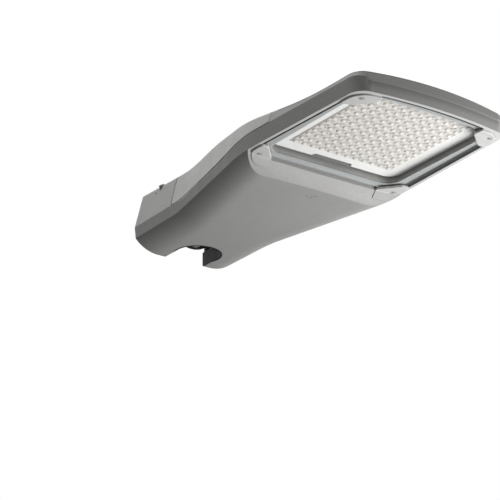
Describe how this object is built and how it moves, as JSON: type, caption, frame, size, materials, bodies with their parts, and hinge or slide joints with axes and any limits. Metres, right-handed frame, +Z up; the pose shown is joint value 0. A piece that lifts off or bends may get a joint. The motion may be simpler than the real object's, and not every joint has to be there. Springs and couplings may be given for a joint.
{
  "type": "led street light head",
  "caption": "Flat LED street light head with a glazed light window, a hinged gear cover and a tilting clamp for the arm tube.",
  "frame": {"origin": "where the tilt axis crosses the axis of the arm tube, in the middle of the clamp", "axes": "+X from the arm towards the front of the light, +Y to the left seen from the arm, +Z up, head level"},
  "size_m": [0.7035, 0.3144, 0.125],
  "materials": {
    "casting": "fine powder coat",
    "cover_paint": "fine powder coat",
    "glass": "clear, toughened",
    "rubber": "matt",
    "steel": "stainless",
    "clip_paint": "fine powder coat",
    "white_board": "white solder mask",
    "lens": "clear acrylic",
    "chip": "phosphor",
    "sheet": "plain sheet",
    "driver_case": "satin",
    "surge_case": "moulded",
    "block": "moulded",
    "gland": "moulded",
    "clamp_casting": "dark powder coat"
  },
  "bodies": {
    "spigot": {"spigot_clamp": "clamp_casting", "clamp_bolts": "steel", "pivot_bolts": "steel", "pivot_washers": "steel"},
    "head": {"housing": "casting", "cover_gasket": "rubber", "hinge_pins": "steel", "canopy": "casting", "canopy_screws": "steel", "glass_pane": "glass", "glass_gasket": "rubber", "clip_screws": "steel", "led_board": "white_board", "led_chips": "chip", "lens_screws": "steel", "gear_tray": "sheet", "tray_screws": "steel", "driver": "driver_case", "surge_protector": "surge_case", "terminal_block": "block", "cable_gland": "gland", "corner_clip_front_left": "clip_paint", "corner_clip_front_right": "clip_paint", "corner_clip_rear_left": "clip_paint", "corner_clip_rear_right": "clip_paint", "lens_plate_1": "lens", "lens_plate_2": "lens", "lens_plate_3": "lens", "lens_plate_4": "lens"},
    "lid": {"gear_cover": "cover_paint", "cover_screws": "steel"}
  },
  "joints": [
    {"name": "tilt", "type": "hinge", "parent": "spigot", "child": "head", "pos_m": [0, 0, 0], "axis": [0, 1, 0], "range_deg": [-10, 80]},
    {"name": "cover_hinge", "type": "hinge", "parent": "head", "child": "lid", "pos_m": [0.4326, 0, 0.01191], "axis": [0, 1, 0], "range_deg": [0, 95]}
  ]
}
